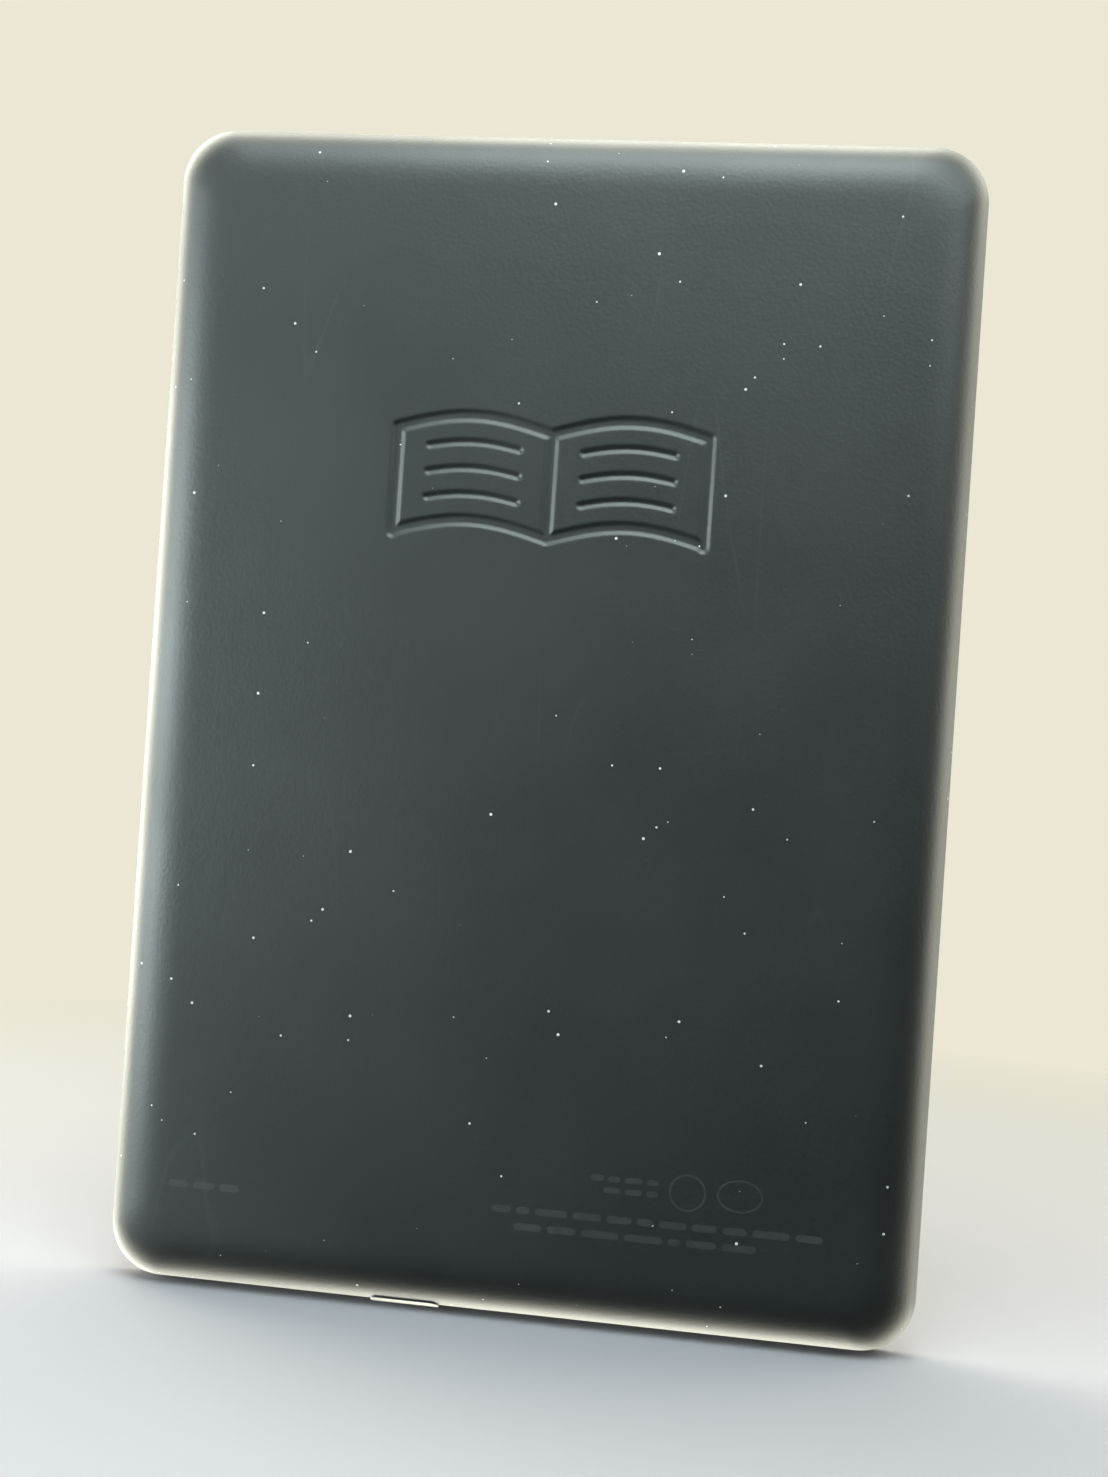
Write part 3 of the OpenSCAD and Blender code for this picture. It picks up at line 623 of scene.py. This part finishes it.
def soft_touch():
    """The back's soft-touch coating: fine grain, cloudy handling marks, dust and faint scuffs."""
    n = Nodes("soft_touch_coating")
    n.set(IOR=1.5, Sheen_Weight=0.06, Sheen_Roughness=0.4)
    cloud = n.noise(22.0, 4.0, 0.6)
    colour = n.blend(n.span(cloud, 0.0, 1.0), (0.0025, 0.0031, 0.0032), (0.0045, 0.0052, 0.0050))
    grit = n.noise(5200.0, 1.0)
    colour = n.blend(n.span(grit, 0.0, 0.1), colour, (0.03, 0.034, 0.034))
    dust = n.math("MAXIMUM", n.specks(600.0, 0.13, 0.12), n.specks(250.0, 0.06, 0.1))
    scuffs = n.streaks(70.0, 6.0, 0.004)
    colour = n.blend(scuffs, colour, (0.008, 0.0095, 0.0095))
    colour = n.blend(dust, colour, (0.36, 0.36, 0.33))
    n.link(colour, n.shader.inputs["Base Color"])
    smudge = n.span(n.noise(35.0, 3.0, 0.6), 0.48, 0.54)
    n.link(n.math("ADD", smudge, n.span(grit, -0.02, 0.02)), n.shader.inputs["Roughness"])
    fine = n.bump(n.noise(1900.0, 2.0), 3e-5)
    n.bump(n.noise(260.0, 2.0), 8e-6, 1.0, fine)
    return n.material


def bezel_plastic():
    """The bezel's fine matt texture, a little smoother than the back."""
    n = moulded("bezel_texture", (0.015, 0.015, 0.017), 0.5, 4200.0, 8e-6, 0.12)
    dust = n.specks(500.0, 0.1, 0.06)
    base = n.shader.inputs["Base Color"].links[0].from_socket
    n.link(n.blend(n.math("MULTIPLY", dust, 0.6), base, (0.4, 0.4, 0.38)),
           n.shader.inputs["Base Color"])
    return n.material


def paper_screen():
    """Electronic paper under its matt film: pale grey with a very fine grain."""
    n = Nodes("paper_screen")
    n.set(IOR=1.5)
    grain = n.noise(7000.0, 1.0)
    cloud = n.noise(30.0, 2.0)
    colour = n.blend(n.span(grain, 0.0, 1.0), (0.52, 0.535, 0.55), (0.6, 0.615, 0.63))
    colour = n.blend(n.span(cloud, 0.0, 0.15), colour, (0.64, 0.655, 0.67))
    n.link(colour, n.shader.inputs["Base Color"])
    n.link(n.span(n.noise(2500.0), 0.36, 0.46), n.shader.inputs["Roughness"])
    n.bump(n.noise(9000.0, 1.0), 2e-6)
    return n.material


def board_laminate():
    """Solder mask over copper: green, with a paler network of tracks."""
    n = moulded("board_mask", (0.01, 0.09, 0.04), 0.35, 800.0, 2e-6, 0.1)
    tracks = n.add("ShaderNodeTexBrick")
    tracks.inputs["Scale"].default_value = 180.0
    n.link(n.place, tracks.inputs["Vector"])
    base = n.shader.inputs["Base Color"].links[0].from_socket
    n.link(n.blend(n.math("MULTIPLY", tracks.outputs["Fac"], 0.6), base, (0.03, 0.2, 0.08)),
           n.shader.inputs["Base Color"])
    return n.material


def slot_materials():
    """One finished material for each of the record's material slots."""
    return {
        "soft_touch_plastic": soft_touch(),
        "bezel_plastic": bezel_plastic(),
        "button_plastic": moulded("button_satin", (0.02, 0.021, 0.022), 0.38).material,
        "dark_plastic": moulded("dark_resin", (0.02, 0.02, 0.02), 0.5).material,
        "pale_plastic": moulded("ivory_resin", (0.72, 0.69, 0.6), 0.4).material,
        "clear_plastic": moulded("frosted_resin", (0.22, 0.23, 0.22), 0.3).material,
        "black_tape": moulded("black_tape_foam", (0.015, 0.015, 0.015), 0.8, 1500.0, 2e-5).material,
        "white_tape": moulded("white_tape_paper", (0.75, 0.75, 0.72), 0.6).material,
        "foam": moulded("grey_foam", (0.08, 0.08, 0.08), 0.9, 1200.0, 4e-5).material,
        "magnesium": metal("blasted_magnesium", (0.5, 0.51, 0.53), 0.55, 2500.0, 8e-6).material,
        "screw_steel": metal("plated_steel", (0.6, 0.6, 0.62), 0.3).material,
        "brass_parts": metal("turned_brass", (0.78, 0.57, 0.24), 0.28).material,
        "shield_metal": metal("tinned_steel", (0.68, 0.69, 0.7), 0.27).material,
        "screen_film": paper_screen(),
        "clear_film": film("clear_film", (0.7, 0.74, 0.75), 0.2).material,
        "ink_layer": moulded("ink_layer", (0.5, 0.51, 0.48), 0.5).material,
        "panel_glass": film("panel_glass", (0.3, 0.38, 0.35), 0.1).material,
        "chip_resin": moulded("chip_resin", (0.018, 0.018, 0.02), 0.55, 3000.0, 5e-6).material,
        "led_resin": film("led_resin", (0.85, 0.75, 0.35), 0.2).material,
        "flex_film": film("amber_film", (0.5, 0.22, 0.04), 0.3).material,
        "board_laminate": board_laminate(),
        "ceramic": moulded("fired_ceramic", (0.45, 0.34, 0.2), 0.5).material,
        "ferrite": moulded("pressed_ferrite", (0.07, 0.07, 0.07), 0.7).material,
        "cell_foil": metal("cell_foil", (0.6, 0.61, 0.62), 0.38, 400.0, 6e-6).material,
        "wire_jacket": moulded("red_jacket", (0.4, 0.02, 0.015), 0.45).material,
        "cable_jacket": moulded("black_jacket", (0.02, 0.02, 0.02), 0.45).material,
    }


def print_ink(name, colour, roughness):
    return moulded(name, colour, roughness, 5000.0, 2e-6, 0.2).material


# Stage, light and camera ---------------------------------------------------------------------

def build_stage(cream):
    """A pale floor that rises all round into a plain backdrop."""
    steps = 96
    flat, rise, high = 1.1, 0.9, 2.2
    profile = [(0.02, 0.0), (0.2, 0.0), (0.5, 0.0), (flat, 0.0)]
    for k in range(1, 17):
        a = math.pi / 2 * k / 16
        profile.append((flat + rise * math.sin(a), rise * (1 - math.cos(a))))
    profile.append((flat + rise, high))
    verts = [(0.0, 0.0, 0.0)]
    for r, z in profile:
        for k in range(steps):
            a = 2 * math.pi * k / steps
            verts.append((r * math.cos(a), r * math.sin(a), z))
    rows = [[0] * steps] + [
        list(range(1 + i * steps, 1 + (i + 1) * steps)) for i in range(len(profile))
    ]
    faces = []
    for first, second in zip(rows[:-1], rows[1:]):
        faces += band(first, second)
    mesh = bpy.data.meshes.new("studio_floor")
    mesh.from_pydata(verts, [], faces)
    mesh.polygons.foreach_set("use_smooth", [True] * len(mesh.polygons))
    floor = bpy.data.objects.new("studio_floor", mesh)
    bpy.context.scene.collection.objects.link(floor)

    # Lit paper near the reader, fading into an evenly lit backdrop between two distances in metres
    fade_from, fade_to = 0.08, 0.32
    paper = (0.2, 0.192, 0.206, 1.0)
    n = Nodes("studio_paper")
    n.set(Roughness=0.9)
    n.shader.inputs["Specular IOR Level"].default_value = 0.0
    n.shader.inputs["Base Color"].default_value = paper
    glow = n.add("ShaderNodeEmission")
    glow.inputs["Color"].default_value = (*cream, 1.0)
    glow.inputs["Strength"].default_value = 1.0
    length = n.add("ShaderNodeVectorMath", operation="LENGTH")
    n.link(n.place, length.inputs[0])
    fade = n.span(length.outputs["Value"], 0.0, 1.0, fade_from, fade_to)
    mix = n.add("ShaderNodeMixShader")
    n.link(fade, mix.inputs["Fac"])
    n.link(n.shader.outputs["BSDF"], mix.inputs[1])
    n.link(glow.outputs["Emission"], mix.inputs[2])
    n.link(mix.outputs["Shader"], n.tree.nodes["Material Output"].inputs["Surface"])
    mesh.materials.append(n.material)
    floor.visible_diffuse = False
    floor.visible_glossy = False
    floor.visible_shadow = False
    return floor


def add_softbox(name, angle, tilt, watts, colour, lit):
    """A round soft light that faces the reader's middle, at an angle round it from +X and tilted
    out of its plane to the back. It lights only the collection lit."""
    data = bpy.data.lights.new(name, "AREA")
    data.shape = "DISK"
    data.size = SOFTBOX_SIZE
    data.energy = watts
    data.color = colour
    light = bpy.data.objects.new(name, data)
    bpy.context.scene.collection.objects.link(light)
    round_it, out = math.radians(angle), math.radians(tilt)
    toward = Vector((
        math.cos(round_it) * math.cos(out),
        math.sin(out),
        math.sin(round_it) * math.cos(out),
    ))
    light.location = Vector((0, 0, MIDDLE_Y / 1000)) + toward * SOFTBOX_AWAY
    light.rotation_euler = toward.to_track_quat("Z", "Y").to_euler()
    light.visible_camera = False
    light.light_linking.receiver_collection = lit


def build_light(cream, lit_pieces):
    """Large soft lights close round the back and its edges, which light only lit_pieces, and pale
    surroundings that light the screen's side."""
    lit = bpy.data.collections.new("lit_by_softboxes")
    for piece in lit_pieces:
        lit.objects.link(piece)
    for number in range(RING_BOXES):
        angle = 360.0 * number / RING_BOXES
        watts = RING_WATTS + RING_LEAN * math.cos(math.radians(angle))
        add_softbox(f"ring_softbox_{number}", angle, RING_TILT, watts, RING_COLOUR, lit)
    for number, (angle, watts) in enumerate(BACK_WATTS.items()):
        add_softbox(f"back_softbox_{number}", angle, BACK_TILT, watts, BACK_COLOUR, lit)

    world = bpy.data.worlds.new("studio_light")
    bpy.context.scene.world = world
    world.use_nodes = True
    tree = world.node_tree
    background = tree.nodes["Background"]
    place = tree.nodes.new("ShaderNodeTexCoord").outputs["Generated"]
    facing = tree.nodes.new("ShaderNodeVectorMath")
    facing.operation = "DOT_PRODUCT"
    facing.inputs[1].default_value = (0, -1, 0)
    tree.links.new(place, facing.inputs[0])
    ramp = tree.nodes.new("ShaderNodeMapRange")
    ramp.interpolation_type = "SMOOTHSTEP"
    ramp.inputs["From Min"].default_value = -0.1
    ramp.inputs["From Max"].default_value = 0.5
    tree.links.new(facing.outputs["Value"], ramp.inputs["Value"])
    tree.links.new(ramp.outputs["Result"], background.inputs["Strength"])
    background.inputs["Color"].default_value = (*cream, 1.0)


def build_camera():
    """Behind the reader, level with its middle and a little to its left as seen from the screen."""
    azimuth, elevation, roll = (math.radians(a) for a in CAMERA_ANGLES)
    back = Vector((
        math.sin(azimuth) * math.cos(elevation),
        math.cos(azimuth) * math.cos(elevation),
        math.sin(elevation),
    ))
    right = Vector((0, 0, 1)).cross(back).normalized()
    up = back.cross(right)
    tilted_right = math.cos(roll) * right + math.sin(roll) * up
    tilted_up = back.cross(tilted_right)
    turn = Matrix((tilted_right, tilted_up, back)).transposed()
    data = bpy.data.cameras.new("camera")
    data.lens = CAMERA_LENS
    data.sensor_width = 36.0
    data.clip_start = 0.01
    camera = bpy.data.objects.new("camera", data)
    bpy.context.scene.collection.objects.link(camera)
    camera.matrix_world = Matrix.Translation(CAMERA_PLACE) @ turn.to_4x4()
    bpy.context.scene.camera = camera


# Putting it together -------------------------------------------------------------------------

def soften_edges(node, width):
    """Rounds a CAD node's edges with a bevel of that width in mm, leaving its mesh alone."""
    obj = frame["nodes"][node]
    weld = obj.modifiers.new("weld", "WELD")
    weld.merge_threshold = 1e-6
    bevel = obj.modifiers.new("bevel", "BEVEL")
    bevel.width = width / 1000
    bevel.segments = 3
    bevel.limit_method = "ANGLE"
    bevel.angle_limit = math.radians(35)
    bevel.harden_normals = False


def dress(obj, material):
    obj.data.materials.clear()
    obj.data.materials.append(material)


build_camera()
floor = build_stage(CREAM)

finishes = slot_materials()
slot_of = {part["node"]: part["material_slot"] for part in frame["record"]["subparts"]}
for node, obj in frame["nodes"].items():
    dress(obj, finishes[slot_of[node]])

shell = build_rear_cover()
dress(shell, finishes["soft_touch_plastic"])
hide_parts("rear_cover")

bezel = build_bezel()
dress(bezel, finishes["bezel_plastic"])
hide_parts("front_bezel")

page = build_page()
dress(page, print_ink("page_ink", (0.05, 0.052, 0.05), 0.5))

back_print = build_back_print()
for printed in back_print:
    dress(printed, print_ink("back_ink", (0.017, 0.018, 0.018), 0.5))

soften_edges("power_button", 0.2)
soften_edges("usb_shell", 0.06)

front = ("front_bezel", "touch_film")
behind = [obj for node, obj in frame["nodes"].items() if node not in front]
build_light(CREAM, [floor, shell, *back_print, *behind])

bpy.context.scene.view_settings.view_transform = "Standard"
